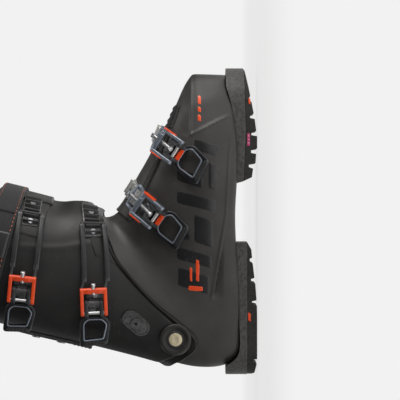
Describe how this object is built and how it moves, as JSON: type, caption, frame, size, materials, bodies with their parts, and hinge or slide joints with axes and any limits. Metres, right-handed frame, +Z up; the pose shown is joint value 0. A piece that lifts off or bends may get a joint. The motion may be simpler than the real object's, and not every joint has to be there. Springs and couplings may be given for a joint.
{
  "type": "alpine ski boot",
  "caption": "Right alpine ski boot: hinged cuff over a rigid lower shell, over-centre buckles with ladders, screwed-on soles, liner and power strap.",
  "frame": {"origin": "on the ground, on the sole's centre line, straight below the ankle pivot (centre of the heel sole's flat pad)", "axes": "+X towards the toe, +Y towards the medial side (the wearer's left on this right boot), +Z up"},
  "size_m": [0.305, 0.137, 0.3435],
  "materials": {
    "shell_plastic": "satin moulded",
    "trim_plastic": "matt moulded",
    "sole_plastic": "matt grained",
    "sole_rubber": "matt",
    "badge": "gloss",
    "steel": "satin",
    "brass": "satin",
    "bail_steel": "satin",
    "ladder_aluminium": "satin",
    "lever_aluminium": "dark anodised",
    "base_aluminium": "dark anodised",
    "orange": "satin",
    "grip": "matt",
    "board": "matt",
    "webbing": "woven",
    "liner": "woven",
    "footbed": "felt"
  },
  "bodies": {
    "shell": {"lower_shell": "shell_plastic", "overlap_flap": "shell_plastic", "toe_gasket": "trim_plastic", "toe_sole_plate": "sole_plastic", "toe_sole_rubber": "sole_rubber", "heel_sole_plate": "sole_plastic", "heel_sole_rubber": "sole_rubber", "sole_screws": "steel", "sole_badge": "badge", "boot_board": "board", "liner_foot": "liner", "footbed": "footbed", "pivot_bolt_lateral": "brass", "pivot_bolt_medial": "brass", "shell_rivets": "steel", "shell_buckle_axles": "steel", "instep_buckle_base": "base_aluminium", "instep_catch": "ladder_aluminium", "toe_buckle_base": "base_aluminium", "toe_catch": "ladder_aluminium"},
    "cuff": {"cuff_shell": "shell_plastic", "cuff_flap": "shell_plastic", "pivot_bushes": "brass", "cant_ring": "trim_plastic", "cant_plate": "shell_plastic", "cant_dial": "steel", "spine_blade": "trim_plastic", "spine_bolts": "steel", "cuff_rivets": "steel", "cuff_buckle_axles": "steel", "liner_cuff": "liner", "liner_tongue": "liner", "liner_pull_loop": "webbing", "power_strap": "webbing", "strap_keeper": "webbing", "lower_cuff_buckle_base": "base_aluminium", "lower_cuff_ladder": "ladder_aluminium", "upper_cuff_buckle_base": "base_aluminium", "upper_cuff_ladder": "ladder_aluminium"},
    "instep_lever": {"instep_lever": "lever_aluminium", "instep_lever_grip": "grip", "instep_link_pin": "steel"},
    "instep_bail": {"instep_yoke": "orange", "instep_bail": "bail_steel"},
    "toe_lever": {"toe_lever": "lever_aluminium", "toe_lever_grip": "grip", "toe_link_pin": "steel"},
    "toe_bail": {"toe_yoke": "orange", "toe_bail": "bail_steel"},
    "lower_cuff_lever": {"lower_cuff_lever": "lever_aluminium", "lower_cuff_lever_grip": "grip", "lower_cuff_link_pin": "steel"},
    "lower_cuff_bail": {"lower_cuff_yoke": "orange", "lower_cuff_bail": "bail_steel"},
    "upper_cuff_lever": {"upper_cuff_lever": "lever_aluminium", "upper_cuff_lever_grip": "grip", "upper_cuff_link_pin": "steel"},
    "upper_cuff_bail": {"upper_cuff_yoke": "orange", "upper_cuff_bail": "bail_steel"}
  },
  "joints": [
    {"name": "cuff_flex", "type": "hinge", "parent": "shell", "child": "cuff", "pos_m": [0, 0, 0.0804], "axis": [0, 1, 0], "range_deg": [0, 4], "stiffness_Nm_per_rad": 450},
    {"name": "instep_lever_open", "type": "hinge", "parent": "shell", "child": "instep_lever", "pos_m": [0.12544, -0.04485, 0.10547], "axis": [-0.7949, 0.272, 0.5424], "range_deg": [0, 104]},
    {"name": "instep_bail_swing", "type": "hinge", "parent": "instep_lever", "child": "instep_bail", "pos_m": [0.1202, -0.05019, 0.10047], "axis": [-0.7949, 0.272, 0.5424], "range_deg": [-139, 0]},
    {"name": "toe_lever_open", "type": "hinge", "parent": "shell", "child": "toe_lever", "pos_m": [0.18799, -0.04863, 0.08528], "axis": [-0.8367, 0.1264, 0.5329], "range_deg": [0, 120]},
    {"name": "toe_bail_swing", "type": "hinge", "parent": "toe_lever", "child": "toe_bail", "pos_m": [0.18402, -0.05523, 0.08062], "axis": [-0.8367, 0.1264, 0.5329], "range_deg": [-139, 0]},
    {"name": "lower_cuff_lever_open", "type": "hinge", "parent": "cuff", "child": "lower_cuff_lever", "pos_m": [0.03563, -0.05926, 0.15993], "axis": [-0.0359, -0.0189, 0.9992], "range_deg": [0, 120]},
    {"name": "lower_cuff_bail_swing", "type": "hinge", "parent": "lower_cuff_lever", "child": "lower_cuff_bail", "pos_m": [0.02687, -0.06126, 0.15958], "axis": [-0.0359, -0.0189, 0.9992], "range_deg": [-139, 0]},
    {"name": "upper_cuff_lever_open", "type": "hinge", "parent": "cuff", "child": "upper_cuff_lever", "pos_m": [0.04817, -0.06271, 0.23027], "axis": [0.1039, 0.0067, 0.9946], "range_deg": [0, 120]},
    {"name": "upper_cuff_bail_swing", "type": "hinge", "parent": "upper_cuff_lever", "child": "upper_cuff_bail", "pos_m": [0.03933, -0.06413, 0.2312], "axis": [0.1039, 0.0067, 0.9946], "range_deg": [-139, 0]}
  ],
  "couplings": [
    {"joint": "instep_bail_swing", "follows": "instep_lever_open", "ratio": -1.15},
    {"joint": "toe_bail_swing", "follows": "toe_lever_open", "ratio": -1.15},
    {"joint": "lower_cuff_bail_swing", "follows": "lower_cuff_lever_open", "ratio": -1.15},
    {"joint": "upper_cuff_bail_swing", "follows": "upper_cuff_lever_open", "ratio": -1.15}
  ]
}
